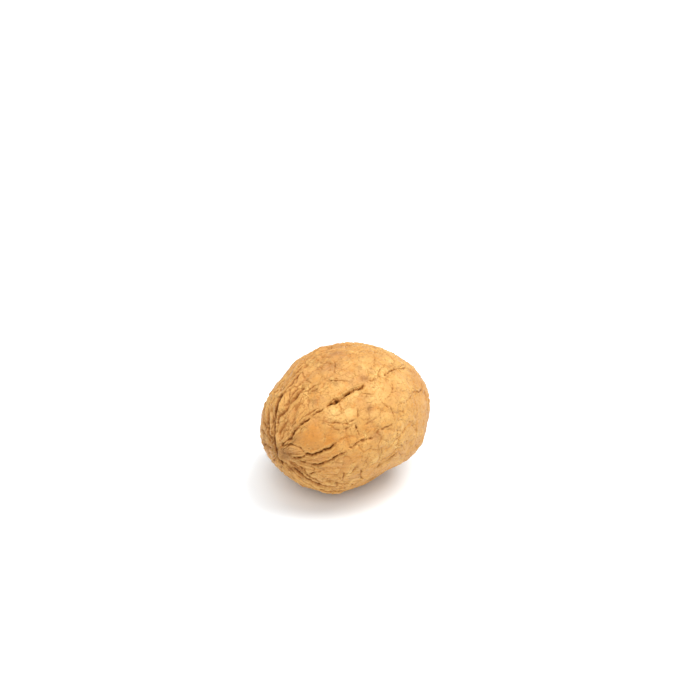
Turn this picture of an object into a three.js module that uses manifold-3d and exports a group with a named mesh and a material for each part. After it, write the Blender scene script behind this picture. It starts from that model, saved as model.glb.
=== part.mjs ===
// A whole walnut in its shell, lying on its side, as one solid.
// Millimetres, +Z up. The long axis runs along Y, with the pointed tip at -Y and the stem end at +Y.
// The seam between the two half shells runs through both ends, in a plane that leans from upright.
// Places on the shell are given as [fromTip, around] in degrees: fromTip is 0 at the tip and 180 at the
// stem end, and around is 0 along the middle of the half shell on the +X side, 90 at the upper seam.

import * as THREE from "three";
import { mergeVertices } from "three/addons/utils/BufferGeometryUtils.js";
import Module from "manifold-3d";

// Overall form
const halfLength = 19.8;
const halfAcrossSeam = 17.8;
const halfAlongSeam = 15.05;
const seamLean = 25;
const fullness = 0.96;
const tipGirth = 0.02;
const beakHeight = 1.0;
const beakSpread = 15;

// Seam: two half shells meet in a raised rim with a fine line along its crest
const upperSeam = 90;
const lowerSeam = -80;
const rimHeight = 0.55;
const rimHalfWidth = 1.8;
const seamLineDepth = 0.25;
const seamLineHalfWidth = 0.45;
const gutterDepth = 0.15;
const gutterOffset = 3.2;
const gutterHalfWidth = 1.0;

// Stem end: a shallow scar where the stalk joined
const scarDepth = 0.3;
const scarHalfWidth = 2.4;

// Seam and furrows fade out this close to the two ends
const endFade = 2.6;

// Flat spot that the nut rests on
const flatDepth = 0.4;

// Mesh density: columns crowd together near the seam, where the rim needs them
const columns = 112;
const rows = 44;
const crowding = 0.2;

// Broad swellings (height above zero) and hollows (below zero), in millimetres, spread in degrees
const swellings = [
  { at: [140, -5], height: 0.5, spread: 20 },
  { at: [141, 45], height: -0.3, spread: 20 },
  { at: [109, 88], height: -0.15, spread: 20 },
  { at: [88, 108], height: 0.9, spread: 20 },
  { at: [66, 123], height: -0.5, spread: 20 },
  { at: [42, 148], height: -0.2, spread: 20 },
  { at: [35, -131], height: -0.3, spread: 20 },
  { at: [49, -88], height: 0.55, spread: 20 },
  { at: [87, -68], height: -0.6, spread: 20 },
  { at: [108, -52], height: 1.0, spread: 20 },
  { at: [120, -42], height: 0.4, spread: 20 },
  { at: [30, -162], height: -0.2, spread: 20 },
  { at: [88, -104], height: 0.45, spread: 16 },
  { at: [28, 17], height: 0.5, spread: 12 },
  { at: [48, 22], height: 0.4, spread: 10 },
  { at: [60, -2], height: -0.35, spread: 11 },
  { at: [70, 50], height: 0.35, spread: 10 },
  { at: [95, 12], height: 0.3, spread: 12 },
  { at: [78, 160], height: 0.5, spread: 16 },
  { at: [105, 175], height: -0.4, spread: 12 },
  { at: [128, 150], height: 0.4, spread: 14 },
  { at: [60, -165], height: 0.4, spread: 12 },
  { at: [112, -150], height: 0.5, spread: 14 },
  { at: [140, -120], height: -0.4, spread: 12 },
];

// Furrows: lines of places on the shell, with the depth and half width of the furrow in millimetres
const furrows = [
  { line: [[10, 54], [17, 43], [35, 40], [49, 37], [71, 34], [89, 34]], depth: 0.45, halfWidth: 0.8 },
  { line: [[96, 33], [108, 32], [124, 33]], depth: 0.25, halfWidth: 0.8 },
  { line: [[8, -34], [14, -22], [19, -16], [29, -14], [38, -8]], depth: 0.35, halfWidth: 0.8 },
  { line: [[16, -51], [22, -40], [37, -27], [54, -11], [66, -12]], depth: 0.4, halfWidth: 0.9 },
  { line: [[16, -74], [28, -76], [41, -70], [55, -62], [66, -54]], depth: 0.35, halfWidth: 0.8 },
  { line: [[40, 28], [50, 13], [57, 7], [70, 6]], depth: 0.25, halfWidth: 0.8 },
  { line: [[80, 14], [84, 4], [83, -8]], depth: 0.25, halfWidth: 0.8 },
  { line: [[14, 120], [30, 128], [52, 132], [74, 140], [92, 138]], depth: 0.45, halfWidth: 0.9 },
  { line: [[12, 165], [28, 172], [46, -176], [60, -180], [80, -172]], depth: 0.45, halfWidth: 0.9 },
  { line: [[14, -122], [32, -134], [52, -138], [72, -132]], depth: 0.4, halfWidth: 0.9 },
  { line: [[170, 150], [152, 152], [132, 165], [112, 158]], depth: 0.45, halfWidth: 0.9 },
  { line: [[170, -140], [150, -150], [130, -165], [116, -176]], depth: 0.4, halfWidth: 0.9 },
  { line: [[168, 40], [150, 48], [130, 56], [112, 52]], depth: 0.4, halfWidth: 0.9 },
  { line: [[168, -30], [148, -20], [128, -12], [110, -16]], depth: 0.4, halfWidth: 0.9 },
  { line: [[166, 8], [148, 14], [136, 22]], depth: 0.3, halfWidth: 0.8 },
];

const shellColour = 0xd0a062;
const shellRoughness = 0.6;

const radians = THREE.MathUtils.degToRad;

// Height of a smooth hump of height 1 at distance 0, in units of its half width.
function hump(distance) {
  return Math.exp(-distance * distance);
}

// Direction of a place as seen from the nut's middle, on a ball.
function directionOf([fromTip, around]) {
  const polar = radians(fromTip);
  const angle = radians(around);
  return new THREE.Vector3(
    Math.sin(polar) * Math.cos(angle),
    -Math.cos(polar),
    Math.sin(polar) * Math.sin(angle),
  );
}

// Smooth oval under the details, before the lean: X across the seam, Y along, Z in the seam plane.
function ovalPoint(fromTip, around) {
  const polar = radians(fromTip);
  const angle = radians(around);
  const girth = Math.pow(Math.sin(polar), fullness) * (1 + tipGirth * Math.cos(polar));
  const beak = beakHeight * hump(fromTip / beakSpread);
  return new THREE.Vector3(
    halfAcrossSeam * girth * Math.cos(angle),
    -halfLength * Math.cos(polar) - beak,
    halfAlongSeam * girth * Math.sin(angle),
  );
}

function ovalNormal(point) {
  return new THREE.Vector3(
    point.x / halfAcrossSeam ** 2,
    point.y / halfLength ** 2,
    point.z / halfAlongSeam ** 2,
  ).normalize();
}

// Distance in millimetres along the shell from a point on it to the nearer of the two seams.
function distanceToSeam(point, around) {
  const girth = Math.hypot(point.x, point.z);
  const turns = [upperSeam, lowerSeam].map((seam) => {
    const apart = THREE.MathUtils.euclideanModulo(around - seam + 180, 360) - 180;
    return Math.abs(radians(apart)) * girth;
  });
  return Math.min(...turns);
}

// A furrow's line as straight stretches between points on the oval.
function furrowStretches({ line }) {
  const points = line.map(([fromTip, around]) => ovalPoint(fromTip, around));
  return points.slice(1).map((end, i) => new THREE.Line3(points[i], end));
}

const cutFurrows = furrows.map((furrow) => ({ ...furrow, stretches: furrowStretches(furrow) }));
const swellingsAt = swellings.map((swelling) => ({ ...swelling, direction: directionOf(swelling.at) }));
const tip = ovalPoint(0, 0);
const stemEnd = ovalPoint(180, 0);
const nearest = new THREE.Vector3();

function distanceToFurrow(point, furrow) {
  const distances = furrow.stretches.map((stretch) => {
    stretch.closestPointToPoint(point, true, nearest);
    return nearest.distanceTo(point);
  });
  return Math.min(...distances);
}

// Height of the real surface over the smooth oval.
function reliefAt(point, fromTip, around) {
  const direction = directionOf([fromTip, around]);
  const seam = distanceToSeam(point, around);
  const toTip = point.distanceTo(tip);
  const toStemEnd = point.distanceTo(stemEnd);
  const clearOfEnds = 1 - hump(Math.min(toTip, toStemEnd) / endFade);
  let relief = rimHeight * hump(seam / rimHalfWidth) * (1 - hump(toStemEnd / endFade));
  relief -= seamLineDepth * hump(seam / seamLineHalfWidth) * clearOfEnds;
  relief -= gutterDepth * hump((seam - gutterOffset) / gutterHalfWidth) * clearOfEnds;
  for (const swelling of swellingsAt) {
    const apart = THREE.MathUtils.radToDeg(direction.angleTo(swelling.direction));
    relief += swelling.height * hump(apart / swelling.spread);
  }
  for (const furrow of cutFurrows) {
    const groove = hump(distanceToFurrow(point, furrow) / furrow.halfWidth);
    relief -= furrow.depth * groove * clearOfEnds;
  }
  return relief - scarDepth * hump(toStemEnd / scarHalfWidth);
}

// A ball whose points are moved out to the shell's surface, leaning by the seam's lean.
function shellGeometry() {
  const geometry = new THREE.SphereGeometry(1, columns, rows);
  const position = geometry.getAttribute("position");
  const vertex = new THREE.Vector3();
  const longAxis = new THREE.Vector3(0, 1, 0);
  for (let i = 0; i < position.count; i += 1) {
    vertex.fromBufferAttribute(position, i);
    const fromTip = THREE.MathUtils.radToDeg(Math.acos(THREE.MathUtils.clamp(-vertex.y, -1, 1)));
    const even = Math.atan2(vertex.z, vertex.x);
    const around = THREE.MathUtils.radToDeg(even + crowding * Math.sin(2 * even));
    const point = ovalPoint(fromTip, around);
    const relief = reliefAt(point, fromTip, around);
    point.addScaledVector(ovalNormal(point), relief);
    point.applyAxisAngle(longAxis, -radians(seamLean));
    position.setXYZ(i, point.x, point.y, point.z);
  }
  geometry.deleteAttribute("normal");
  geometry.deleteAttribute("uv");
  return mergeVertices(geometry, 1e-3);
}

const wasm = await Module();
wasm.setup();

function solidFrom(geometry) {
  return new wasm.Manifold(
    new wasm.Mesh({
      numProp: 3,
      vertProperties: new Float32Array(geometry.getAttribute("position").array),
      triVerts: new Uint32Array(geometry.index.array),
    }),
  );
}

function geometryFrom(solid) {
  const mesh = solid.getMesh();
  const geometry = new THREE.BufferGeometry();
  geometry.setAttribute("position", new THREE.BufferAttribute(new Float32Array(mesh.vertProperties), 3));
  geometry.setIndex(new THREE.BufferAttribute(new Uint32Array(mesh.triVerts), 1));
  geometry.computeVertexNormals();
  return geometry;
}

// The underside is cut level, so that the nut rests on a small flat spot.
function cutFlatSpot(geometry) {
  geometry.computeBoundingBox();
  const size = geometry.boundingBox.getSize(new THREE.Vector3());
  const slab = new THREE.BoxGeometry(size.x, size.y, size.z);
  slab.translate(0, 0, geometry.boundingBox.min.z + flatDepth - size.z / 2);
  slab.deleteAttribute("normal");
  slab.deleteAttribute("uv");
  return geometryFrom(solidFrom(geometry).subtract(solidFrom(mergeVertices(slab, 1e-3))));
}

// The origin goes under the middle of the nut, on the surface that it rests on.
function standOnOrigin(geometry) {
  geometry.computeBoundingBox();
  const { min, max } = geometry.boundingBox;
  geometry.translate(-(min.x + max.x) / 2, -(min.y + max.y) / 2, -min.z);
  return geometry;
}

const walnut = new THREE.Mesh(
  standOnOrigin(cutFlatSpot(shellGeometry())),
  new THREE.MeshStandardMaterial({ color: shellColour, roughness: shellRoughness, metalness: 0 }),
);
walnut.name = "walnut";

const part = new THREE.Group();
part.add(walnut);

export default part;
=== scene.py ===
import math

import bpy
import numpy as np
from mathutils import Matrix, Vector


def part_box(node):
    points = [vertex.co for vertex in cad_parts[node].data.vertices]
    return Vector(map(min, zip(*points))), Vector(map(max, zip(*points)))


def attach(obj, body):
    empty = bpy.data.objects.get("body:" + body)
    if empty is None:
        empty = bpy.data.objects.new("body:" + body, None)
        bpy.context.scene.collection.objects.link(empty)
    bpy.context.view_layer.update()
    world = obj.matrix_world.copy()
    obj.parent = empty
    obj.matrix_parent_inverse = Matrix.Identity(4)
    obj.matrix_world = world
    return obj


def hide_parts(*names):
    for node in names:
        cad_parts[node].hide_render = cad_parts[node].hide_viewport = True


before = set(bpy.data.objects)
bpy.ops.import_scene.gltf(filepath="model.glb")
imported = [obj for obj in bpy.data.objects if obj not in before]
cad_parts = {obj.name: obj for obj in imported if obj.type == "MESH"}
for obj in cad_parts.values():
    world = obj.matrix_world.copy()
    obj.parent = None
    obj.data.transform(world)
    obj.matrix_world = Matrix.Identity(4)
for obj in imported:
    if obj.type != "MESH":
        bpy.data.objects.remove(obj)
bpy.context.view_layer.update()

mm = 0.001

# The nut's form, in millimetres and degrees.
# Places on the shell are (fromTip, around) in degrees: fromTip is 0 at the tip and 180 at the stem end,
# around is 0 along the middle of the half shell on the +X side and 90 at the upper seam.
form = dict(
    halfLength=19.8,
    halfAcrossSeam=17.8,
    halfAlongSeam=15.05,
    seamLean=25,
    fullness=0.96,
    tipGirth=0.02,
    beakHeight=1.0,
    beakSpread=15,
    endFade=2.6,
    flatDepth=0.4,
    side=300,  # quads along one side of each of the six faces of the ball
    sideQuick=110,
)

# Broad swellings and hollows: place, height in millimetres, spread in degrees
swellings = [
    ((140, -5), 0.5, 20), ((141, 45), -0.3, 20), ((109, 88), -0.15, 20), ((88, 108), 0.9, 20),
    ((66, 123), -0.5, 20), ((42, 148), -0.2, 20), ((35, -131), -0.3, 20), ((49, -88), 0.55, 20),
    ((87, -68), -0.6, 20), ((108, -52), 1.0, 20), ((120, -42), 0.4, 20), ((30, -162), -0.2, 20),
    ((88, -104), 0.45, 16), ((28, 17), 0.5, 12), ((48, 22), 0.4, 10), ((60, -2), -0.35, 11),
    ((70, 50), 0.35, 10), ((95, 12), 0.3, 12), ((78, 160), 0.5, 16), ((105, 175), -0.4, 12),
    ((128, 150), 0.4, 14), ((60, -165), 0.4, 12), ((112, -150), 0.5, 14), ((140, -120), -0.4, 12),
]

seam = dict(
    upper=90,
    lower=-80,
    wander=1.5,  # degrees that the seam strays to either side, slowly and then quickly
    shake=0.6,
    rimHeight=0.55,
    rimHalfWidth=1.8,
    gutterDepth=0.18,
    gutterOffset=3.1,
    gutterHalfWidth=0.7,
)

# The round scar with its pore at the stem end, and the brown stains at both ends
scar = dict(
    depth=0.3,
    halfWidth=2.4,
    poreDepth=0.7,
    poreHalfWidth=0.5,
    poreShade=1.3,
    tipStain=0.55,
    stemStain=0.8,
)

# Furrows: line of places, depth and half width in millimetres, darkness from 0 to 1 of the painted shade at
# the bottom, which also scales the flanks' painted shade and the lips' painted highlight
furrowsAlongSeam = [
    # the upper seam, strong near the tip and faint beyond it
    ([(10, -95), (6, -105), (3, -130), (3, 110), (7, 98), (11, 97), (16, 95), (22, 97), (28, 97), (33, 95),
      (40, 93), (46, 91)], 0.90, 0.60, 1.6),
    ([(46, 91), (58, 91), (72, 90), (90, 91), (108, 90), (126, 91)], 0.25, 0.26, 0.45),
    ([(126, 91), (142, 89), (158, 91), (174, 90)], 0.45, 0.30, 0.8),
    # long folds beside the upper seam
    ([(25, 92), (31, 92), (37, 93), (41, 92), (46, 89), (51, 87), (58, 85), (65, 85)], 0.35, 0.34, 0.75),
    ([(14, 86), (19, 85), (24, 85)], 0.35, 0.40, 0.55),
    ([(20, 89), (24, 87), (27, 85), (31, 79), (37, 78), (42, 75), (47, 73), (54, 71)], 0.50, 0.60, 0.65),
    ([(12, 79), (15, 77), (19, 74), (22, 71), (26, 69)], 0.50, 0.50, 0.75),
    ([(34, 83), (39, 81), (44, 80), (50, 78), (57, 79)], 0.30, 0.40, 0.55),
    ([(8, 74), (13, 68), (19, 64), (26, 60), (33, 58)], 0.30, 0.50, 0.35),
    ([(60, 87), (72, 86), (84, 87), (98, 86), (112, 85)], 0.15, 0.26, 0.3),
    # long folds beside the lower seam
    ([(4, -95), (9, -78), (16, -71), (25, -71), (35, -73), (44, -72), (52, -70)], 0.70, 0.46, 1.0),
    ([(8, -51), (15, -60), (23, -63), (32, -67), (42, -70)], 0.45, 0.40, 0.7),
    ([(6, -84), (16, -81), (26, -80), (38, -80), (50, -78), (62, -75)], 0.50, 0.40, 0.7),
    ([(8, -95), (20, -90), (34, -88), (50, -86), (66, -84)], 0.40, 0.36, 0.6),
    ([(70, -76), (84, -74), (98, -75), (112, -73), (128, -76)], 0.30, 0.32, 0.45),
]
furrowsNearHalf = [
    # the open slit and the long crack through it, from the tip to the stem end
    ([(48, 37), (52, 37), (54, 35), (57, 35), (60, 35), (63, 35), (67, 35), (71, 35), (74, 33), (78, 34)],
     1.00, 0.36, 1.0),
    ([(53, 36), (55, 36), (57, 36), (59, 35)], 0.70, 0.50, 1.2),
    ([(52, 38), (55, 38), (58, 37)], 0.50, 0.26, 0.9),
    ([(58, 34), (56, 32), (54, 30)], 0.25, 0.22, 0.4),
    ([(5, 56), (8, 51), (11, 49), (14, 44), (16, 41), (19, 44), (25, 44), (31, 42), (36, 40)],
     0.60, 0.36, 1.0),
    ([(36, 40), (40, 40), (44, 38), (48, 37)], 0.30, 0.28, 0.6),
    ([(27, 49), (32, 47), (36, 46), (41, 43), (46, 41)], 0.25, 0.26, 0.5),
    ([(81, 35), (84, 34), (87, 35)], 0.35, 0.28, 0.7),
    ([(90, 34), (95, 32), (101, 33), (108, 33), (112, 32), (117, 34), (124, 34)], 0.35, 0.26, 0.65),
    ([(111, 32), (116, 31), (122, 30)], 0.22, 0.22, 0.5),
    # lines round the tip
    ([(7, 89), (7, 83), (7, 77)], 0.30, 0.24, 0.7),
    ([(9, 68), (9, 60), (8, 50), (8, 42), (10, 35), (12, 28), (13, 20), (15, 12), (17, 3), (18, -5),
      (19, -11)], 0.35, 0.26, 0.6),
    ([(7, -18), (9, -25), (9, -31), (8, -38)], 0.35, 0.26, 0.85),
    ([(8, -48), (9, -54), (10, -60)], 0.25, 0.24, 0.4),
    # lines from the tip below the middle
    ([(8, -32), (13, -27), (17, -19), (20, -13), (23, -16), (28, -13), (32, -9), (35, -8), (38, -6),
      (42, -2)], 0.55, 0.32, 1.0),
    ([(21, -12), (22, -15), (22, -18)], 0.30, 0.24, 0.6),
    ([(14, -38), (18, -37), (23, -38), (29, -35), (32, -30), (37, -24), (41, -19), (44, -17), (48, -14)],
     0.55, 0.32, 0.9),
    ([(42, -20), (41, -24), (40, -28)], 0.25, 0.24, 0.5),
    ([(48, -13), (52, -12), (56, -10), (60, -10), (63, -11), (67, -11)], 0.40, 0.30, 0.55),
    ([(56, -10), (58, -9), (61, -10)], 0.40, 0.36, 1.0),
    ([(9, -47), (14, -53), (20, -57), (25, -59), (29, -54), (32, -45)], 0.40, 0.30, 0.75),
    ([(32, -38), (33, -44), (34, -51)], 0.18, 0.24, 0.25),
    ([(26, -59), (27, -63), (26, -68)], 0.20, 0.22, 0.45),
    ([(13, -66), (16, -68), (20, -70)], 0.35, 0.34, 0.6),
    # lines beside the upper seam
    ([(17, 62), (21, 58), (25, 55), (28, 53)], 0.20, 0.28, 0.4),
    ([(11, 74), (12, 70), (15, 67), (20, 64)], 0.20, 0.26, 0.4),
    ([(42, 75), (45, 74), (48, 71)], 0.15, 0.26, 0.35),
    ([(46, 70), (48, 69), (51, 65), (55, 63), (58, 60)], 0.25, 0.28, 0.5),
    ([(62, 81), (58, 75), (57, 68), (55, 65)], 0.22, 0.28, 0.5),
    ([(49, 65), (52, 60), (56, 57)], 0.20, 0.28, 0.4),
    ([(82, 69), (80, 68), (75, 62), (69, 56)], 0.22, 0.28, 0.45),
    ([(52, 81), (56, 83), (60, 84), (64, 85)], 0.18, 0.18, 0.4),
    ([(55, 92), (58, 91), (61, 89), (65, 88), (70, 88)], 0.22, 0.17, 0.55),
    ([(64, 86), (62, 82), (60, 79), (57, 76), (56, 72), (57, 68)], 0.18, 0.20, 0.4),
    ([(63, 66), (66, 68), (69, 70), (73, 72)], 0.15, 0.22, 0.3),
    ([(78, 84), (77, 79), (75, 76), (76, 72), (77, 66), (74, 62)], 0.18, 0.24, 0.35),
    ([(80, 86), (84, 85), (87, 83), (91, 82), (96, 81)], 0.28, 0.24, 0.6),
    ([(100, 79), (104, 80), (108, 82)], 0.20, 0.24, 0.4),
    ([(62, 57), (64, 55), (65, 52), (67, 49), (69, 46), (71, 43)], 0.28, 0.20, 0.65),
    ([(66, 54), (67, 51), (69, 49)], 0.18, 0.18, 0.4),
    ([(82, 51), (85, 53), (88, 54)], 0.15, 0.24, 0.35),
    ([(83, 48), (87, 47)], 0.15, 0.30, 0.4),
    ([(106, 56), (104, 54), (101, 50), (97, 46), (93, 43), (88, 41)], 0.20, 0.22, 0.4),
    ([(78, 60), (83, 58), (89, 60), (96, 62), (102, 59)], 0.12, 0.24, 0.2),
    # network right of the middle
    ([(40, 28), (42, 24), (44, 21), (46, 19), (49, 15), (53, 12), (58, 12), (59, 8)], 0.24, 0.24, 0.5),
    ([(40, 24), (43, 17), (44, 13), (46, 10), (51, 8), (55, 9)], 0.20, 0.24, 0.4),
    ([(56, 10), (57, 6), (57, 1), (58, -4)], 0.36, 0.20, 0.75),
    ([(64, 21), (62, 17), (60, 13), (58, 10)], 0.18, 0.24, 0.45),
    ([(57, 34), (55, 30), (54, 27), (51, 19)], 0.18, 0.24, 0.35),
    ([(62, 4), (66, 4), (69, 5), (74, 6), (79, 9), (81, 12)], 0.16, 0.24, 0.4),
    ([(80, 14), (82, 10), (84, 5), (83, -2), (83, -7)], 0.26, 0.24, 0.55),
    ([(92, 19), (89, 16), (85, 15), (82, 14)], 0.18, 0.24, 0.42),
    ([(90, 16), (94, 22), (96, 26)], 0.15, 0.24, 0.4),
    ([(71, 28), (75, 26), (78, 25)], 0.12, 0.26, 0.3),
    ([(88, 8), (91, 7), (97, 5), (103, 6), (109, 8)], 0.14, 0.24, 0.35),
    ([(108, 9), (112, 7), (117, 5), (122, 4), (125, 7), (129, 11)], 0.28, 0.24, 0.55),
    ([(96, 24), (102, 20), (108, 19), (114, 22)], 0.10, 0.22, 0.2),
    ([(66, -11), (71, -6), (75, -6), (83, -6)], 0.24, 0.26, 0.55),
    ([(69, -7), (71, -11), (71, -16)], 0.18, 0.26, 0.4),
    ([(84, -4), (88, -6), (92, -9), (99, -14), (101, -19)], 0.14, 0.22, 0.25),
    ([(66, -11), (64, -16), (62, -21), (61, -27), (60, -33), (59, -38)], 0.22, 0.24, 0.4),
    ([(71, -20), (71, -27), (72, -33), (74, -37)], 0.12, 0.22, 0.25),
    ([(80, -24), (84, -26), (88, -29), (90, -34)], 0.15, 0.24, 0.3),
    ([(56, -31), (55, -36), (54, -42), (51, -46)], 0.30, 0.36, 0.5),
    # folds low on the side
    ([(68, -45), (71, -44), (74, -42), (76, -39), (79, -37), (82, -35), (85, -35)], 0.55, 0.24, 1.0),
    ([(58, -40), (59, -44), (61, -50), (63, -55), (67, -58)], 0.30, 0.22, 0.6),
    ([(47, -43), (48, -49), (49, -56), (52, -62)], 0.22, 0.24, 0.45),
    ([(41, -50), (44, -50), (46, -47)], 0.18, 0.28, 0.4),
    ([(40, -65), (43, -64), (46, -63), (50, -65), (56, -66)], 0.25, 0.28, 0.45),
    ([(36, -80), (44, -78), (54, -74), (62, -68), (68, -60), (74, -54)], 0.25, 0.30, 0.4),
    # stem end of the same half
    ([(172, 40), (160, 44), (150, 48), (138, 54), (124, 52)], 0.50, 0.34, 0.7),
    ([(172, -30), (160, -26), (148, -20), (134, -12), (120, -16)], 0.50, 0.34, 0.7),
    ([(170, 8), (158, 10), (148, 14), (136, 22)], 0.40, 0.30, 0.6),
    ([(168, -58), (154, -56), (142, -52), (128, -58), (116, -66)], 0.45, 0.32, 0.6),
    ([(168, 66), (156, 68), (144, 72), (132, 70)], 0.35, 0.28, 0.5),
]
furrowsFarHalf = [
    ([(6, 118), (12, 110), (20, 106), (32, 104), (44, 101), (56, 99)], 0.45, 0.50, 0.55),
    ([(5, 125), (12, 122), (20, 122), (32, 120), (44, 118), (54, 112), (62, 106)], 0.55, 0.65, 0.6),
    ([(7, 132), (14, 130), (22, 130), (34, 134), (48, 133)], 0.40, 0.50, 0.5),
    ([(40, 112), (46, 111), (51, 108), (56, 102), (61, 98)], 0.30, 0.36, 0.5),
    ([(8, -108), (16, -109), (24, -108), (31, -100), (43, -98), (56, -102)], 0.50, 0.46, 0.6),
    ([(70, 96), (84, 97), (98, 96), (112, 97), (130, 99)], 0.22, 0.28, 0.4),
    ([(172, 104), (158, 101), (142, 100), (128, 101)], 0.35, 0.34, 0.6),
    ([(172, -92), (156, -88), (138, -87), (118, -88), (98, -88)], 0.40, 0.36, 0.6),
    ([(172, -70), (156, -72), (140, -73), (126, -72)], 0.35, 0.32, 0.55),
    ([(8, 118), (16, 122), (30, 128), (42, 129), (52, 132), (64, 137), (78, 140), (92, 138)],
     0.50, 0.34, 0.75),
    ([(9, 160), (18, 168), (28, 172), (38, 180), (46, -176), (60, 180), (72, -175), (84, -172)],
     0.50, 0.34, 0.75),
    ([(9, -120), (18, -126), (32, -134), (44, -135), (56, -139), (72, -132)], 0.50, 0.34, 0.7),
    ([(58, 134), (62, 130), (67, 129), (72, 131)], 0.80, 0.32, 0.95),
    ([(172, 150), (160, 150), (150, 153), (138, 163), (126, 166), (112, 158)], 0.50, 0.34, 0.7),
    ([(172, -140), (160, -144), (148, -151), (134, -163), (120, -174)], 0.50, 0.34, 0.7),
    ([(10, 142), (17, 138), (24, 142), (34, 150)], 0.30, 0.26, 0.5),
    ([(12, -170), (18, 178), (24, 173), (30, 170)], 0.30, 0.26, 0.5),
    ([(12, -150), (24, -152), (40, -158), (54, -156)], 0.35, 0.28, 0.55),
    ([(168, 118), (156, 117), (144, 122), (128, 126), (110, 122)], 0.45, 0.32, 0.6),
    ([(168, -112), (150, -108), (132, -112), (116, -108)], 0.40, 0.30, 0.6),
    ([(92, 138), (98, 150), (92, 164), (84, 172)], 0.30, 0.26, 0.45),
    ([(112, 158), (104, 146), (98, 150)], 0.25, 0.24, 0.45),
    ([(100, -130), (94, -138), (96, -148), (104, -152)], 0.35, 0.26, 0.6),
    ([(116, 134), (110, 138), (106, 144)], 0.60, 0.28, 0.9),
]

# Tints: places with their spread in degrees and their strength
tintPlaces = dict(
    cream=[
        ((48, 29), 6, 0.9), ((56, 20), 5, 0.6), ((66, 44), 4, 0.4), ((83, 27), 6, 0.6),
        ((104, 22), 8, 0.7), ((92, 53), 6, 0.5), ((88, -9), 5, 0.5), ((77, 2), 4, 0.5),
        ((71, 58), 4, 0.3), ((71, 10), 3, 0.4), ((117, 31), 9, 0.7), ((96, 8), 6, 0.5),
        ((110, 42), 6, 0.4), ((82, 60), 5, 0.5), ((87, 48), 5, 0.6), ((91, 36), 5, 0.6),
        ((81, 20), 6, 0.6), ((68, 33), 4, 0.5), ((62, 46), 5, 0.5), ((62, 30), 4, 0.4),
    ],
    # pale grey patches of the shell; the places beside the tip also paint the light that the rim catches
    # there
    ashenAndRimLight=[
        ((18, 108), 8, 0.9), ((11, 98), 6, 0.8), ((9, 64), 5, 0.7), ((9, 31), 5, 0.5),
        ((10, -30), 6, 0.6), ((20, -58), 6, 0.6), ((29, -66), 6, 0.6), ((37, -68), 6, 0.6),
        ((49, -71), 7, 0.5), ((28, 108), 8, 0.6),
    ],
    amber=[
        ((27, -15), 6, 0.8), ((32, -28), 6, 0.8), ((39, -18), 6, 0.8), ((45, -16), 5, 0.7),
        ((49, -27), 7, 0.7), ((34, -46), 5, 0.5), ((43, -40), 6, 0.6), ((52, -13), 4, 0.6),
    ],
    orange=[
        ((28, 14), 10, 0.9), ((37, 2), 8, 0.9), ((41, 10), 6, 0.6), ((33, 26), 7, 0.7), ((18, 2), 4, 0.5),
        ((50, -2), 6, 0.7), ((58, -9), 4, 0.7), ((54, -16), 5, 0.6), ((41, 26), 2, 0.8),
        ((92, 66), 6, 0.4), ((62, 2), 4, 0.7), ((24, -8), 5, 0.6),
    ],
    rosy=[
        ((20, 60), 7, 0.7), ((7, 30), 7, 0.6), ((9, -20), 7, 0.8), ((6, -50), 7, 0.6),
        ((26, -26), 7, 0.6), ((41, -32), 8, 0.5), ((80, 38), 4, 0.7), ((88, 75), 5, 0.8),
        ((98, 82), 6, 0.7), ((69, -10), 4, 0.8), ((57, -52), 4, 0.6), ((70, 52), 5, 0.5),
        ((24, 78), 5, 0.6), ((77, -14), 5, 0.4), ((10, 75), 6, 0.5), ((13, -56), 6, 0.6),
        ((32, 66), 5, 0.6), ((86, 75), 7, 0.8), ((73, 49), 5, 0.5), ((68, 56), 6, 0.6),
        ((89, 66), 6, 0.7), ((62, 74), 7, 0.5), ((73, 73), 6, 0.7), ((74, 65), 8, 1.0),
    ],
    dusky=[
        ((4, -60), 4, 0.5), ((3, 40), 4, 0.5), ((8, -16), 5, 0.45), ((75, 86), 6, 0.4),
        ((60, 90), 5, 0.35), ((90, 76), 5, 0.5), ((70, 15), 2.4, 0.9), ((45, 51), 2.5, 0.6),
        ((64, 48), 2.0, 0.6), ((104, 37), 2.0, 0.6), ((72, 42), 2.0, 0.6), ((53, 59), 2.5, 0.6),
        ((40, 25), 1.6, 0.6), ((76, 71), 3.0, 0.5), ((77, 65), 3.0, 0.5), ((81, 38), 3.0, 0.9),
        ((69, -10), 3.0, 0.6), ((73, 24), 2.6, 0.6), ((84, 48), 2.4, 0.6), ((70, 37), 2.4, 0.5),
        ((89, 40), 1.6, 0.6), ((59, -10), 1.6, 0.6), ((55, -38), 1.8, 0.6), ((43, -50), 1.6, 0.5),
        ((16, -69), 2.2, 0.8), ((24, -75), 3.5, 0.5), ((29, 83), 2.2, 0.7), ((18, 73), 2.2, 0.6),
        ((38, 80), 1.8, 0.6), ((96, 25), 1.0, 0.4), ((122, 5), 1.4, 0.4), ((17, 29), 3.0, 0.5),
        ((31, -42), 2.5, 0.5),
    ],
)


def hump(distance):
    return np.exp(-distance * distance)


def smoothStep(value, low, high):
    t = np.clip((value - low) / (high - low), 0.0, 1.0)
    return t * t * (3.0 - 2.0 * t)


def unitAt(fromTip, around):
    polar, angle = np.radians(fromTip), np.radians(around)
    return np.stack([np.sin(polar) * np.cos(angle), -np.cos(polar), np.sin(polar) * np.sin(angle)], -1)


# Smooth oval under the details, before the lean: X across the seam, Y along, Z in the seam plane
def ovalPoint(fromTip, around):
    fromTip = np.asarray(fromTip, float)
    polar, angle = np.radians(fromTip), np.radians(np.asarray(around, float))
    girth = np.sin(polar) ** form["fullness"] * (1 + form["tipGirth"] * np.cos(polar))
    beak = form["beakHeight"] * hump(fromTip / form["beakSpread"])
    return np.stack([
        form["halfAcrossSeam"] * girth * np.cos(angle),
        -form["halfLength"] * np.cos(polar) - beak,
        form["halfAlongSeam"] * girth * np.sin(angle),
    ], -1)


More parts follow.
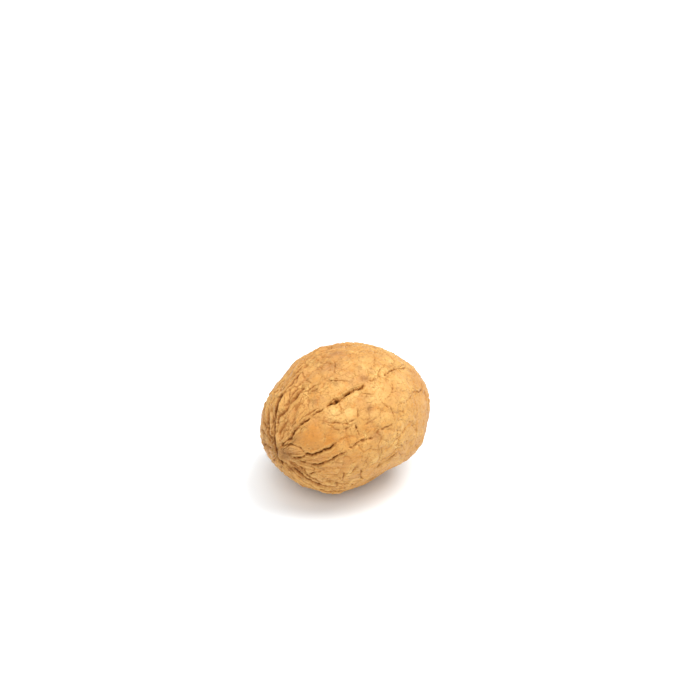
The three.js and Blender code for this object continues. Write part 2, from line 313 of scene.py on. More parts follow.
def ovalNormal(point):
    radii = np.array([form["halfAcrossSeam"], form["halfLength"], form["halfAlongSeam"]])
    normal = point / radii ** 2
    return normal / np.linalg.norm(normal, axis=1, keepdims=True)


# Seeded smooth noise in space, about -1 to 1
def noiseAt(points, size, seed):
    rng = np.random.default_rng(seed)
    shuffle = rng.permutation(256)
    slopes = rng.normal(size=(256, 3))
    slopes /= np.linalg.norm(slopes, axis=1, keepdims=True)
    scaled = points / size + rng.uniform(0, 50, 3)
    cell = np.floor(scaled).astype(np.int64)
    inside = scaled - cell
    ease = inside ** 3 * (inside * (inside * 6 - 15) + 10)
    total = np.zeros(len(points))
    for corner in np.ndindex(2, 2, 2):
        at = cell + corner
        pick = shuffle[(shuffle[(shuffle[at[:, 0] & 255] + at[:, 1]) & 255] + at[:, 2]) & 255]
        slope = slopes[pick]
        share = np.prod(np.where(corner, ease, 1 - ease), axis=1)
        total += share * np.einsum("ij,ij->i", slope, inside - corner)
    return total * 1.6


def layeredNoise(points, size, seed, layers):
    total = np.zeros(len(points))
    for layer in range(layers):
        total += noiseAt(points, size / 2 ** layer, seed + layer) / 2 ** layer
    return total / (2 - 2 ** (1 - layers))


def noiseVector(points, size, seed):
    return np.stack([noiseAt(points, size, seed + 100 * axis) for axis in range(3)], -1)


# A ball of six square grids, joined along their edges; the tip is in the middle of one grid
def ballGrid(side):
    gap = 0.02
    steps = np.tan(np.linspace(-1, 1, side + 1) * math.pi / 4)
    u, v = np.meshgrid(steps, steps, indexing="ij")
    one = np.ones_like(u)
    faces = [(u, -one, v), (-u, one, v), (one, u, v), (-one, -u, v), (u, v, one), (u, -v, -one)]
    points = np.concatenate([np.stack(face, -1).reshape(-1, 3) for face in faces])
    points /= np.linalg.norm(points, axis=1, keepdims=True)
    keys = np.round(points * 1e6).astype(np.int64)
    _, first, joined = np.unique(keys, axis=0, return_index=True, return_inverse=True)
    index = np.arange((side + 1) ** 2).reshape(side + 1, side + 1)
    square = np.stack([index[:-1, :-1], index[1:, :-1], index[1:, 1:], index[:-1, 1:]], -1).reshape(-1, 4)
    quads = np.concatenate([square + face * (side + 1) ** 2 for face in range(6)])
    # each grid has its own square of the unwrapping, three across and two up, with a small gap round it
    even = np.linspace(0, 1, side + 1)
    s, t = np.meshgrid(even, even, indexing="ij")
    flat = []
    for face in range(6):
        column, row = face % 3, face // 3
        across = (column + gap + (1 - 2 * gap) * s) / 3
        up = (row + gap + (1 - 2 * gap) * t) / 2
        flat.append(np.stack([across, up], -1).reshape(-1, 2))
    unwrapped = np.concatenate(flat)[quads.reshape(-1)]
    return points[first], joined.reshape(-1)[quads], unwrapped


# Distance in millimetres from each point to a line of places, and how far along the line it is, 0 to 1
def distanceToLine(points, places, reach):
    knots = ovalPoint([p[0] for p in places], [p[1] for p in places])
    padded = np.concatenate([2 * knots[:1] - knots[1:2], knots, 2 * knots[-1:] - knots[-2:-1]])
    smooth = []
    for i in range(len(knots) - 1):
        a, b, c, d = padded[i:i + 4]
        for t in np.linspace(0, 1, 4, endpoint=False):
            smooth.append(0.5 * (2 * b + (c - a) * t + (2 * a - 5 * b + 4 * c - d) * t ** 2
                                 + (3 * b - a - 3 * c + d) * t ** 3))
    smooth.append(knots[-1])
    smooth = np.array(smooth)
    lengths = np.linalg.norm(np.diff(smooth, axis=0), axis=1)
    starts = np.concatenate([[0], np.cumsum(lengths)])
    middle, radius = smooth.mean(0), np.linalg.norm(smooth - smooth.mean(0), axis=1).max() + reach
    near = np.nonzero(np.linalg.norm(points - middle, axis=1) < radius)[0]
    best, along = np.full(len(near), 1e3), np.zeros(len(near))
    for i, length in enumerate(lengths):
        stretch = smooth[i + 1] - smooth[i]
        t = np.clip((points[near] - smooth[i]) @ stretch / length ** 2, 0, 1)
        distance = np.linalg.norm(points[near] - smooth[i] - t[:, None] * stretch, axis=1)
        closer = distance < best
        best[closer] = distance[closer]
        along[closer] = (starts[i] + t * length)[closer] / starts[-1]
    return near, best, along, starts[-1]


# How every furrow is cut: lengths in millimetres, with widths as shares of its own half width
furrowCut = dict(
    widthShare=0.8,  # of the listed half widths
    leastHalfWidth=0.19,
    strays=((0.20, 2.4, 11), (0.19, 0.8, 12), (0.07, 0.35, 14)),  # how far, over what length, seed
    wobbles=((0.55, 1.5, 13), (0.45, 0.6, 15)),  # how much, over what length, seed
    weakest=0.3,
    strongest=1.5,
    thinning=0.45,
    fadeStart=-0.3,
    fadeIn=0.9,
    fadeOut=1.2,
    steepShare=0.72,
    steepWidth=0.6,
    gentleWidth=2.0,
    lipHeight=0.22,
    lipOffset=2.3,
    lipWidth=0.9,
    # darkWidth: width of the painted shade in the bottom of the groove
    darkWidth=0.75,
    # flank keys: reach and strength of the brown with painted shade on the groove's slopes
    flankStrength=0.7,
    flankWidth=1.2,
    flankMargin=0.3,
    # where the painted highlight on the raised lips lies
    highlightOffset=2.0,
    highlightWidth=0.8,
    reachWidth=5,
    reachMargin=0.8,
)


# Grooves of the furrows, with painted shade in their bottoms and on their brown flanks, and a painted
# highlight on their raised lips
def furrowRelief(points, furrows, uneven, relief, masks):
    cut = furrowCut
    strayed = points.copy()
    for amount, size, seed in cut["strays"]:
        strayed += amount * noiseVector(points, size, seed)
    wobble = 1 + uneven * sum(amount * noiseAt(points, size, seed) for amount, size, seed in cut["wobbles"])
    for places, depth, listedHalfWidth, darkness in furrows:
        halfWidth = max(cut["widthShare"] * listedHalfWidth, cut["leastHalfWidth"])
        reach = cut["reachWidth"] * halfWidth + cut["reachMargin"]
        near, distance, along, length = distanceToLine(strayed, places, reach)
        fromStart = smoothStep(along * length, cut["fadeStart"], cut["fadeIn"])
        fromEnd = smoothStep((1 - along) * length, cut["fadeStart"], cut["fadeOut"])
        strength = fromStart * fromEnd * np.clip(wobble[near], cut["weakest"], cut["strongest"])
        width = halfWidth * (1 - cut["thinning"] * (1 - strength))  # a weak stretch is narrower too
        steep = cut["steepShare"] * hump(distance / (cut["steepWidth"] * width))
        gentle = (1 - cut["steepShare"]) * hump(distance / (cut["gentleWidth"] * width))
        lip = hump((distance - cut["lipOffset"] * width) / (cut["lipWidth"] * width))
        relief[near] += depth * strength * (cut["lipHeight"] * lip - (steep + gentle))
        flankReach = cut["flankWidth"] * width + cut["flankMargin"]
        # painted shade in the bottom and on the flanks of the groove, and a painted highlight on its lips
        shares = dict(
            creviceShade=hump(distance / (cut["darkWidth"] * width)),
            flankBrownAndShade=cut["flankStrength"] * hump(distance / flankReach),
            raisedHighlight=hump((distance - cut["highlightOffset"] * width) / (cut["highlightWidth"] * width)),
        )
        for name, share in shares.items():
            masks[name][near] = np.maximum(masks[name][near], darkness * strength * share)


# Fine network of veins: distance in millimetres to the edges between cells scattered through space
def veinNetwork(points, size, seed):
    rng = np.random.default_rng(seed)
    shuffle = rng.permutation(256)
    jitter = rng.uniform(0.05, 0.95, (256, 3))
    scaled = (points + 0.2 * size * noiseVector(points, size * 0.55, seed)) / size + 40
    cell = np.floor(scaled).astype(np.int64)
    first, second = np.full(len(points), 9.0), np.full(len(points), 9.0)
    for step in np.ndindex(3, 3, 3):
        at = cell + step - 1
        pick = shuffle[(shuffle[(shuffle[at[:, 0] & 255] + at[:, 1]) & 255] + at[:, 2]) & 255]
        distance = np.linalg.norm(at + jitter[pick] - scaled, axis=1)
        second = np.minimum(second, np.maximum(first, distance))
        first = np.minimum(first, distance)
    return (second - first) * size


def darken(masks, name, amount):
    masks[name] = np.maximum(masks[name], amount)


# The raised rim along the seam with a broken gutter on each side; gives the distance to the seam
def seamRelief(points, around, toStem, clearOfEnds, relief):
    girth = np.hypot(points[:, 0], points[:, 2])
    wander = seam["wander"] * noiseAt(points, 7, 21) + seam["shake"] * noiseAt(points, 1.6, 22)
    offsets = [np.radians((around + wander - edge + 180) % 360 - 180) * girth
               for edge in (seam["upper"], seam["lower"])]
    toSeam = np.minimum(np.abs(offsets[0]), np.abs(offsets[1]))
    patchy = smoothStep(layeredNoise(points, 5, 23, 2), -0.35, 0.35)
    relief += seam["rimHeight"] * hump(toSeam / seam["rimHalfWidth"]) * (1 - hump(toStem / form["endFade"]))
    gutter = seam["gutterDepth"] * hump((toSeam - seam["gutterOffset"]) / seam["gutterHalfWidth"])
    relief -= gutter * clearOfEnds * (0.3 + 0.9 * patchy)
    return toSeam


# Long wrinkles: heights in millimetres, and how strongly each mask follows them
wrinkles = dict(
    endReach=12,
    seamShare=0.9,
    seamReach=7.5,
    least=0.10,
    smoothCentre=1.2,
    sway=0.3,
    roundHeight=0.38,
    sharpDepth=0.24,
    # how strongly the painted shade in the creases and valleys and the painted highlight on the crests
    # follow the ribs
    creviceShade=0.40,
    flankBrownAndShade=0.60,
    raisedHighlight=0.7,
)


# Long wrinkles run from end to end and gather towards both ends and the seam
def wrinkleRelief(points, toTip, toStem, toSeam, wheel, relief, masks):
    gathered = hump(toTip / wrinkles["endReach"]) + hump(toStem / wrinkles["endReach"])
    gathered += wrinkles["seamShare"] * hump(toSeam / wrinkles["seamReach"])
    gathered = np.clip(gathered, wrinkles["least"], 1)
    gathered *= 1 - hump(np.minimum(toTip, toStem) / wrinkles["smoothCentre"])
    gathered *= 1 - 0.85 * np.clip(1.5 * masks["orange"], 0, 1)  # the orange swellings stay smooth
    ribs = layeredNoise(wheel, 1.0, 34, 2)
    sharpRibs = smoothStep(-np.abs(layeredNoise(wheel, 1.3, 36, 2)), -0.12, 0.0)
    relief += (wrinkles["roundHeight"] * ribs - wrinkles["sharpDepth"] * sharpRibs) * gathered
    shade = sharpRibs * gathered * smoothStep(noiseAt(points, 3, 37), -0.5, 0.3)
    # painted shade in the sharp creases between the ribs
    darken(masks, "creviceShade", wrinkles["creviceShade"] * shade)
    # painted shade in the valleys between the ribs
    darken(masks, "flankBrownAndShade", wrinkles["flankBrownAndShade"] * gathered * smoothStep(-ribs, 0.0, 0.6))
    # painted highlight on the crests of the ribs
    darken(masks, "raisedHighlight", wrinkles["raisedHighlight"] * gathered * smoothStep(ribs, 0.1, 0.6))
    return gathered


# Pillowy cells with veins between them, in patches: sizes, heights and depths in millimetres
veins = dict(
    coarse=dict(size=4.6, seed=41, patches=(6, 42, 2), patchRange=(-0.3, 0.4), lostInWrinkles=0.8,
                puff=0.19, rise=1.6, depth=0.13, cutWidth=0.22, shade=0.30, shadeWidth=0.2),
    fine=dict(size=1.9, seed=43, patches=(5, 44, 2), patchRange=(-0.3, 0.3), lostInWrinkles=0.4,
              puff=0.06, rise=0.7, depth=0.05, cutWidth=0.14, shade=0.18, shadeWidth=0.14),
    winding=dict(size=3.0, seed=45, patches=(4, 46, 2), patchRange=(-0.1, 0.4), lostInWrinkles=0.0,
                 depth=0.10, cutWidth=0.035, shade=0.32, shadeWidth=0.03),
)


def patchStrength(points, kind, gathered):
    patches = smoothStep(layeredNoise(points, *kind["patches"]), *kind["patchRange"])
    return patches * (1 - kind["lostInWrinkles"] * gathered)


def veinRelief(points, kind, strength, relief, masks):
    apart = veinNetwork(points, kind["size"], kind["seed"])
    pillow = kind["puff"] * smoothStep(apart, 0.0, kind["rise"])
    relief += strength * (pillow - kind["depth"] * hump(apart / kind["cutWidth"]))
    darken(masks, "creviceShade", kind["shade"] * hump(apart / kind["shadeWidth"]) * strength)
    return apart


# Pillowy cells, and stray cracks that wind across them
def crackedRelief(points, gathered, relief, masks):
    coarse, fine, winding = veins["coarse"], veins["fine"], veins["winding"]
    strength = patchStrength(points, coarse, gathered)
    apart = veinRelief(points, coarse, strength, relief, masks)
    # painted highlight on the puffed middles of the cells
    darken(masks, "raisedHighlight", 0.5 * smoothStep(apart, 0.3, 1.2) * strength)
    away = np.abs(layeredNoise(points, winding["size"], winding["seed"], 3))
    strength = patchStrength(points, winding, gathered)
    relief -= winding["depth"] * strength * hump(away / winding["cutWidth"])
    darken(masks, "creviceShade", winding["shade"] * strength * hump(away / winding["shadeWidth"]))
    veinRelief(points, fine, patchStrength(points, fine, gathered), relief, masks)


# Unevenness of the whole shell: height and size in millimetres, seed, layers
shellUneven = dict(
    broad=(0.27, 5.5, 31, 2),
    middle=(0.18, 2.2, 38, 2),
    small=(0.10, 1.1, 51, 2),
    creamHeight=0.14,
    duskyDepth=0.12,
    pitDepth=0.08,
    pitShade=0.7,
)


# Height of the shell over the smooth oval, and the masks that its colours follow
def shellRelief(ball):
    fromTip = np.degrees(np.arccos(np.clip(-ball[:, 1], -1, 1)))
    around = np.degrees(np.arctan2(ball[:, 2], ball[:, 0]))
    points = ovalPoint(fromTip, around)
    tip, stemEnd = ovalPoint([0, 180], [0, 0])
    toTip = np.linalg.norm(points - tip, axis=1)
    toStem = np.linalg.norm(points - stemEnd, axis=1)
    clearOfEnds = 1 - hump(np.minimum(toTip, toStem) / form["endFade"])
    relief = np.zeros(len(points))
    masks = {name: np.zeros(len(points)) for name in ("creviceShade", "flankBrownAndShade", "raisedHighlight")}

    for place, height, spread in swellings:
        apart = np.degrees(np.arccos(np.clip(ball @ unitAt(*place), -1, 1)))
        relief += height * hump(apart / spread)
    toSeam = seamRelief(points, around, toStem, clearOfEnds, relief)
    print("walnut: oval, swellings and seam")

    furrowRelief(points, furrowsAlongSeam, 0.35, relief, masks)
    furrowRelief(points, furrowsNearHalf + furrowsFarHalf, 1.0, relief, masks)
    print("walnut: furrows")

    blotchy = layeredNoise(points, 2.2, 52, 3)
    masks.update(tintMasks(ball, blotchy))
    for name in ("broad", "middle", "small"):
        height, *pattern = shellUneven[name]
        relief += height * layeredNoise(points, *pattern)
    relief += shellUneven["creamHeight"] * masks["cream"] - shellUneven["duskyDepth"] * masks["dusky"]
    # a space that turns with the nut, so that noise in it runs from end to end
    wheel = np.stack([np.cos(np.radians(around)) * 9, np.sin(np.radians(around)) * 9, fromTip / 14], -1)
    wheel += wrinkles["sway"] * noiseVector(points, 3.5, 33)
    gathered = wrinkleRelief(points, toTip, toStem, toSeam, wheel, relief, masks)
    crackedRelief(points, gathered, relief, masks)
    print("walnut: wrinkles and veins")

    pits = smoothStep(noiseAt(points, 0.7, 54), 0.45, 0.75)
    pits *= smoothStep(noiseAt(points, 4, 55), -0.1, 0.4)
    relief -= shellUneven["pitDepth"] * pits
    # painted shade in the pits
    darken(masks, "flankBrownAndShade", shellUneven["pitShade"] * pits)
    relief -= scar["depth"] * hump(toStem / scar["halfWidth"])
    relief -= scar["poreDepth"] * hump(toStem / scar["poreHalfWidth"])
    # painted shade in the pore
    darken(masks, "creviceShade", hump(toStem / (scar["poreShade"] * scar["poreHalfWidth"])))
    stain = scar["tipStain"] * hump(toTip / 2.2) + scar["stemStain"] * hump(toStem / 2.6)
    masks["stain"] = np.clip(stain * (1 + 0.9 * blotchy), 0, 1)
    shell = points + ovalNormal(points) * relief[:, None]
    return shell, {name: np.clip(mask, 0, 1) for name, mask in masks.items()}, wheel


# Where more of the tints are scattered: (fromTip, around) from one corner to the other
scatterAreas = dict(
    farHalf=((15, 105), (165, 260)),
    stemSide=((118, -75), (172, 85)),
)


# Tints follow the places listed on the near half, and scattered places beyond it
def tintMasks(ball, blotchy):
    rng = np.random.default_rng(61)

    def scattered(area, places):
        (lowTip, lowAround), (highTip, highAround) = scatterAreas[area]
        return [((rng.uniform(lowTip, highTip), rng.uniform(lowAround, highAround)), spread, strength)
                for _, spread, strength in places]

    masks = {}
    for tint, places in tintPlaces.items():
        allPlaces = places + scattered("farHalf", places) + scattered("stemSide", places[::2])
        mask = np.zeros(len(ball))
        for place, spread, strength in allPlaces:
            apart = np.degrees(np.arccos(np.clip(ball @ unitAt(*place), -1, 1)))
            mask = np.maximum(mask, strength * hump(apart / spread * (1 + 0.35 * blotchy)))
        masks[tint] = np.clip(mask * (1 + 0.6 * blotchy), 0, 1)
    return masks


# The nut leans over, is pressed flat where it rests, and is set exactly into its place
def setInPlace(shell, low, high):
    lean = math.radians(form["seamLean"])
    x = shell[:, 0] * math.cos(lean) - shell[:, 2] * math.sin(lean)
    z = shell[:, 0] * math.sin(lean) + shell[:, 2] * math.cos(lean)
    leant = np.stack([x, shell[:, 1], z], -1)
    leant[:, 2] = np.maximum(leant[:, 2], leant[:, 2].min() + form["flatDepth"])
    size = leant.max(0) - leant.min(0)
    placed = (leant - leant.min(0)) / size * (np.array(high) - np.array(low)) + np.array(low)
    print("walnut: scaled by", np.round((np.array(high) - np.array(low)) / size / mm, 4))
    return placed


def buildWalnut():
    side = form["side"]
    ball, quads, unwrapped = ballGrid(side)
    shell, masks, grain = shellRelief(ball)
    placed = setInPlace(shell, *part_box("walnut"))
    mesh = bpy.data.meshes.new("walnutShell")
    mesh.vertices.add(len(placed))
    mesh.vertices.foreach_set("co", placed.reshape(-1))
    mesh.loops.add(quads.size)
    mesh.loops.foreach_set("vertex_index", quads.reshape(-1).astype(np.int32))
    mesh.polygons.add(len(quads))
    mesh.polygons.foreach_set("loop_start", np.arange(0, quads.size, 4, dtype=np.int32))
    mesh.update(calc_edges=True)
    mesh.polygons.foreach_set("use_smooth", np.ones(len(quads), bool))
    uvLayer = mesh.uv_layers.new(name="OFBake")
    uvLayer.uv.foreach_set("vector", unwrapped.reshape(-1))
    for name, values in masks.items():
        mesh.attributes.new(name, "FLOAT", "POINT").data.foreach_set("value", values)
    mesh.attributes.new("grain", "FLOAT_VECTOR", "POINT").data.foreach_set("vector", grain.reshape(-1))
    mesh.validate()
    walnut = bpy.data.objects.new("walnutInShell", mesh)
    bpy.context.collection.objects.link(walnut)
    walnut.data.materials.append(shellMaterial())
    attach(walnut, "root")
    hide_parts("walnut")
    print("walnut: mesh with", len(quads), "quads")
    return walnut


# Finish, tints and noises of the shell's material
shellLook = dict(
    roughness=(0.43, 0.60),
    specular=0.22,
    bumpStrength=0.8,
    bumpHeight=0.11 * mm,
    hairScale=420,
    hairWidth=0.045,
)

shellTints = dict(
    tan=(0.580, 0.292, 0.078, 1),
    pale=(0.74, 0.450, 0.138, 1),
    cream=(0.82, 0.530, 0.180, 1),
    # pale grey, also painted light on the rim beside the tip
    ashenAndRimLight=(0.70, 0.415, 0.160, 1),
    amber=(0.55, 0.225, 0.042, 1),
    orange=(0.53, 0.203, 0.029, 1),
    rosy=(0.47, 0.220, 0.078, 1),
    dusky=(0.29, 0.130, 0.038, 1),
    stain=(0.25, 0.105, 0.038, 1),
    # brown, which also stands for painted shade beside the furrows, in the valleys between wrinkles and in
    # pits
    flankBrownAndShade=(0.36, 0.140, 0.026, 1),
    # painted shade, nearly black, for the bottoms of furrows, veins, creases and the pore
    creviceShade=(0.155, 0.048, 0.006, 1),
)

# Noises of the colour: space, scale, detail, roughness, distortion
shellNoises = dict(
    broad=("place", 130, 4, 0.55, 0.3),
    patches=("place", 300, 5, 0.65, 0.4),
    mottle=("place", 700, 4, 0.65, 0.0),
    fibre=("grain", 3.4, 5, 0.65, 0.0),
    speck=("place", 2200, 3, 0.6, 0.0),
)

# Tints laid over the tan ground in turn: tint, mask that it keeps to, noise that breaks it up,
# the range of that noise, and the least and most of the tint
tintLayers = [
    ("cream", "cream", "patches", 0.30, 0.60, 0.5, 1.0),
    ("amber", "amber", "patches", 0.30, 0.60, 0.5, 1.0),
    ("orange", "orange", "broad", 0.30, 0.55, 0.6, 1.0),
    ("rosy", "rosy", "patches", 0.30, 0.60, 0.5, 1.0),
    ("ashenAndRimLight", "ashenAndRimLight", "mottle", 0.30, 0.60, 0.4, 1.0),
    ("pale", None, "patches", 0.50, 0.68, 0.0, 0.75),
    ("rosy", None, "broad", 0.46, 0.28, 0.0, 0.50),
    ("orange", None, "mottle", 0.48, 0.70, 0.0, 0.60),
    # painted highlight: the pale tint on raised lips, rib crests and cell domes
    ("pale", "raisedHighlight", "mottle", 0.30, 0.60, 0.2, 0.7),
    ("rosy", None, "fibre", 0.50, 0.70, 0.0, 0.50),
    ("dusky", None, "speck", 0.56, 0.72, 0.0, 0.45),
    ("dusky", "dusky", "mottle", 0.35, 0.60, 0.35, 1.0),
    ("stain", "stain", "patches", 0.30, 0.60, 0.3, 1.0),
    # brown with painted shade on flanks, valleys and pits; the same brown along the hair-fine veins
    ("flankBrownAndShade", "flankBrownAndShade", "mottle", 0.30, 0.62, 0.35, 1.0),
    ("flankBrownAndShade", "hairs", "mottle", 0.25, 0.60, 0.1, 0.5),
]


def addNode(tree, kind, place, **settings):
    node = tree.nodes.new(kind)
    node.location = place
    for name, value in settings.items():
        setattr(node, name, value)
    return node


def mixColours(tree, place, share, first, second, blend="MIX"):
    node = addNode(tree, "ShaderNodeMix", place, data_type="RGBA", blend_type=blend)
    for socket, value in zip((node.inputs[0], node.inputs[6], node.inputs[7]), (share, first, second)):
        if isinstance(value, bpy.types.NodeSocket):
            tree.links.new(value, socket)
        else:
            socket.default_value = value
    return node.outputs[2]


def noiseNode(tree, place, vector, scale, detail, roughness=0.5, distortion=0.0):
    node = addNode(tree, "ShaderNodeTexNoise", place)
    node.inputs["Scale"].default_value = scale
    node.inputs["Detail"].default_value = detail
    node.inputs["Roughness"].default_value = roughness
    node.inputs["Distortion"].default_value = distortion
    tree.links.new(vector, node.inputs["Vector"])
    return node.outputs["Fac"]


def rangeNode(tree, place, value, low, high, toLow=0.0, toHigh=1.0):
    node = addNode(tree, "ShaderNodeMapRange", place, interpolation_type="SMOOTHSTEP")
    for name, number in (("From Min", low), ("From Max", high), ("To Min", toLow), ("To Max", toHigh)):
        node.inputs[name].default_value = number
    tree.links.new(value, node.inputs["Value"])
    return node.outputs["Result"]


def mathNode(tree, place, operation, first, second):
    node = addNode(tree, "ShaderNodeMath", place, operation=operation)
    for socket, value in zip(node.inputs, (first, second)):
        if isinstance(value, bpy.types.NodeSocket):
            tree.links.new(value, socket)
        else:
            socket.default_value = value
    return node.outputs[0]


def attributeNode(tree, row, name, output="Fac"):
    node = addNode(tree, "ShaderNodeAttribute", (-1700, 900 - 180 * row), attribute_name=name)
    return node.outputs[output]


# Hair-fine veins drawn between scattered cells, bent by noise, as a mask
def hairVeins(tree, place, vector, scale, width):
    x, y = place
    bend = addNode(tree, "ShaderNodeTexNoise", (x, y))
    bend.inputs["Scale"].default_value = 0.9 * scale
    bend.inputs["Detail"].default_value = 3
    tree.links.new(vector, bend.inputs["Vector"])
    shift = addNode(tree, "ShaderNodeVectorMath", (x + 180, y), operation="MULTIPLY_ADD")
    shift.inputs[1].default_value = (0.9 / scale,) * 3
    tree.links.new(bend.outputs["Color"], shift.inputs[0])
    tree.links.new(vector, shift.inputs[2])
    cells = addNode(tree, "ShaderNodeTexVoronoi", (x + 360, y), feature="DISTANCE_TO_EDGE")
    cells.inputs["Scale"].default_value = scale
    tree.links.new(shift.outputs[0], cells.inputs["Vector"])
    return rangeNode(tree, (x + 540, y), cells.outputs["Distance"], 0.0, width, 1.0, 0.0)


def shellMaterial():
    material = bpy.data.materials.new("walnutShell")
    material.use_nodes = True
    tree = material.node_tree
    tree.nodes.clear()
    output = addNode(tree, "ShaderNodeOutputMaterial", (2200, 0))
    shader = addNode(tree, "ShaderNodeBsdfPrincipled", (1900, 0))
    tree.links.new(shader.outputs[0], output.inputs[0])
    rows = ("cream", "ashenAndRimLight", "amber", "orange", "rosy", "dusky", "raisedHighlight", "flankBrownAndShade", "stain", "creviceShade")
    masks = {name: attributeNode(tree, row, name) for row, name in enumerate(rows)}
    spaces = dict(
        place=addNode(tree, "ShaderNodeTexCoord", (-1700, 1100)).outputs["Object"],
        grain=attributeNode(tree, len(rows), "grain", "Vector"),
    )
    noises = {name: noiseNode(tree, (-1400, 600 - 200 * row), spaces[space], *settings)
              for row, (name, (space, *settings)) in enumerate(shellNoises.items())}
    hairs = hairVeins(tree, (-1400, -500), spaces["place"], shellLook["hairScale"], shellLook["hairWidth"])
    brokenUp = rangeNode(tree, (-900, -650), noises["patches"], 0.42, 0.58)
    masks["hairs"] = mathNode(tree, (-700, -500), "MULTIPLY", hairs, brokenUp)

    colour = shellTints["tan"]
    for step, (tint, mask, noise, low, high, least, most) in enumerate(tintLayers):
        share = rangeNode(tree, (-500, 900 - 150 * step), noises[noise], low, high, least, most)
        if mask:
            share = mathNode(tree, (-300, 900 - 150 * step), "MULTIPLY", masks[mask], share)
        colour = mixColours(tree, (-100 + 100 * step, 600), share, colour, shellTints[tint])
    # the painted shade in the bottoms of the furrows has ragged edges, brown and then nearly black
    rag = rangeNode(tree, (900, 300), noises["speck"], 0.3, 0.7, -0.16, 0.16)
    ragged = mathNode(tree, (1100, 300), "ADD", masks["creviceShade"], rag)
    brown = rangeNode(tree, (1300, 300), ragged, 0.05, 0.45, 0, 0.90)
    colour = mixColours(tree, (1500, 600), brown, colour, shellTints["flankBrownAndShade"])
    dark = rangeNode(tree, (1500, 300), ragged, 0.38, 0.95, 0, 0.95)
    colour = mixColours(tree, (1700, 600), dark, colour, shellTints["creviceShade"])
    tree.links.new(colour, shader.inputs["Base Color"])

    rough = rangeNode(tree, (1000, -100), noises["mottle"], 0.3, 0.7, *shellLook["roughness"])
    rough = mathNode(tree, (1200, -100), "MAXIMUM", rough, masks["creviceShade"])
    tree.links.new(rough, shader.inputs["Roughness"])
    shader.inputs["Specular IOR Level"].default_value = shellLook["specular"]

    height = mathNode(tree, (600, -300), "ADD", noises["mottle"], noises["speck"])
    height = mathNode(tree, (750, -300), "ADD", height, noises["fibre"])
    height = mathNode(tree, (900, -300), "SUBTRACT", height, masks["hairs"])
    bump = addNode(tree, "ShaderNodeBump", (1200, -300))
    bump.inputs["Strength"].default_value = shellLook["bumpStrength"]
    bump.inputs["Distance"].default_value = shellLook["bumpHeight"]
    tree.links.new(height, bump.inputs["Height"])
    tree.links.new(bump.outputs["Normal"], shader.inputs["Normal"])
    print("material: shell")
    return material


# Soft lights: azimuth and elevation in degrees, counted as the camera's are, and power in watts
softLights = dict(
    topLight=(42, 88, 4.2),
    rightLight=(132, 65, 10.7),
    backLight=(177, 40, 2.0),
    frontLight=(42, 40, 6.0),
    leftLight=(-48, 65, 1.9),
    lowLight=(-35, 15, 1.4),
)

studio = dict(
    floorSize=1.8,
    floorColour=(0.91, 0.955, 0.975, 1),
    floorRoughness=0.9,
    floorSpecular=0.1,
    worldColour=(0.99, 1.0, 1.04, 1),
    worldStrength=0.557,
    wallColour=(1, 1, 1, 1),
    lightSize=0.8,
    lightDistance=1.3,
    aimHeight=0.015,
)

view = dict(
    azimuth=42.0,  # degrees: 0 looks along +Y, 90 looks along -X
    elevation=31.5,
    distance=0.380,
    lens=91.93,
    sensor=36.0,
    centreHeight=15.4 * mm,
    centreX=0.1 * mm,
    centreY=0.8 * mm,
    slideRight=-1.15 * mm,
    slideUp=16.6 * mm,
)


def buildFloor():
    half = studio["floorSize"] / 2
    mesh = bpy.data.meshes.new("floor")
    corners = [(-half, -half, 0), (half, -half, 0), (half, half, 0), (-half, half, 0)]
    mesh.from_pydata(corners, [], [(0, 1, 2, 3)])
    floor = bpy.data.objects.new("floor", mesh)
    bpy.context.collection.objects.link(floor)
    material = bpy.data.materials.new("paleFloor")
    material.use_nodes = True
    shader = material.node_tree.nodes["Principled BSDF"]
    shader.inputs["Base Color"].default_value = studio["floorColour"]
    shader.inputs["Roughness"].default_value = studio["floorRoughness"]
    shader.inputs["Specular IOR Level"].default_value = studio["floorSpecular"]
    mesh.materials.append(material)


# Unit vector from the nut to where a camera or a light of this azimuth and elevation stands
def towards(azimuth, elevation):
    azimuth, elevation = math.radians(azimuth), math.radians(elevation)
    return Vector((math.sin(azimuth) * math.cos(elevation), -math.cos(azimuth) * math.cos(elevation),
                   math.sin(elevation)))


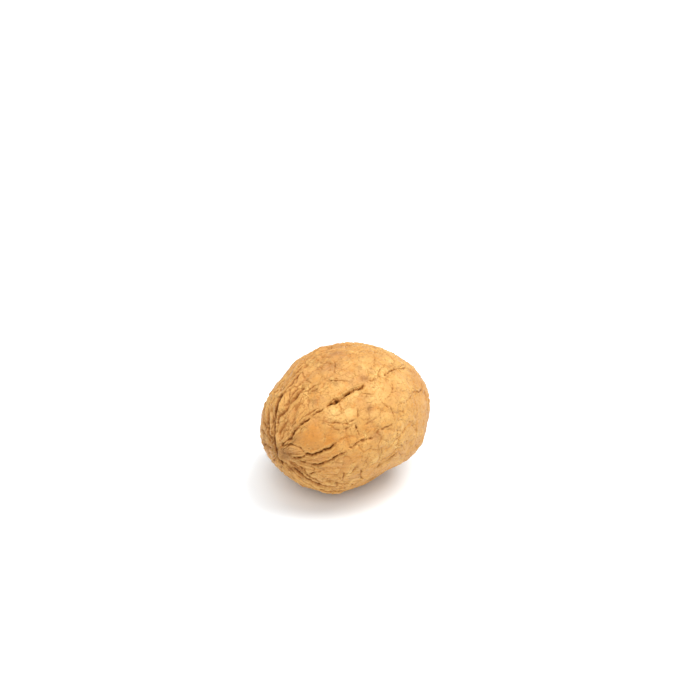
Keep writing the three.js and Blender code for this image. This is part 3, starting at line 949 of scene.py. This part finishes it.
def addSoftLight(name, azimuth, elevation, power):
    light = bpy.data.lights.new(name, "AREA")
    light.shape = "DISK"
    light.size = studio["lightSize"]
    light.energy = power
    lamp = bpy.data.objects.new(name, light)
    direction = towards(azimuth, elevation)
    lamp.location = Vector((0, 0, studio["aimHeight"])) + studio["lightDistance"] * direction
    lamp.rotation_euler = (-direction).to_track_quat("-Z", "Y").to_euler()
    lamp.visible_camera = False
    bpy.context.collection.objects.link(lamp)


def buildStudio():
    buildFloor()
    for name, (azimuth, elevation, power) in softLights.items():
        addSoftLight(name, azimuth, elevation, power)
    world = bpy.data.worlds.new("paleRoom")
    world.use_nodes = True
    tree = world.node_tree
    roomLight = tree.nodes["Background"]
    roomLight.inputs["Color"].default_value = studio["worldColour"]
    roomLight.inputs["Strength"].default_value = studio["worldStrength"]
    # the far wall behind the horizon is seen as white as the floor, while it lights the nut softly
    wall = addNode(tree, "ShaderNodeBackground", (0, -200))
    wall.inputs["Color"].default_value = studio["wallColour"]
    seen = addNode(tree, "ShaderNodeLightPath", (0, 400)).outputs["Is Camera Ray"]
    either = addNode(tree, "ShaderNodeMixShader", (300, 0))
    for socket, value in zip(either.inputs, (seen, roomLight.outputs[0], wall.outputs[0])):
        tree.links.new(value, socket)
    tree.links.new(either.outputs[0], tree.nodes["World Output"].inputs["Surface"])
    bpy.context.scene.world = world
    bpy.context.scene.view_settings.view_transform = "Standard"
    print("studio: floor and lights")


def buildCamera():
    toCamera = towards(view["azimuth"], view["elevation"])
    centre = Vector((view["centreX"], view["centreY"], view["centreHeight"]))
    turn = (-toCamera).to_track_quat("-Z", "Y")
    camera = bpy.data.objects.new("camera", bpy.data.cameras.new("camera"))
    camera.data.lens = view["lens"]
    camera.data.sensor_width = view["sensor"]
    camera.location = centre + toCamera * view["distance"]
    aim = centre + turn @ Vector((view["slideRight"], view["slideUp"], 0))
    camera.rotation_euler = (aim - camera.location).to_track_quat("-Z", "Y").to_euler()
    bpy.context.collection.objects.link(camera)
    bpy.context.scene.camera = camera
    print("camera: placed")


buildWalnut()
buildStudio()
buildCamera()
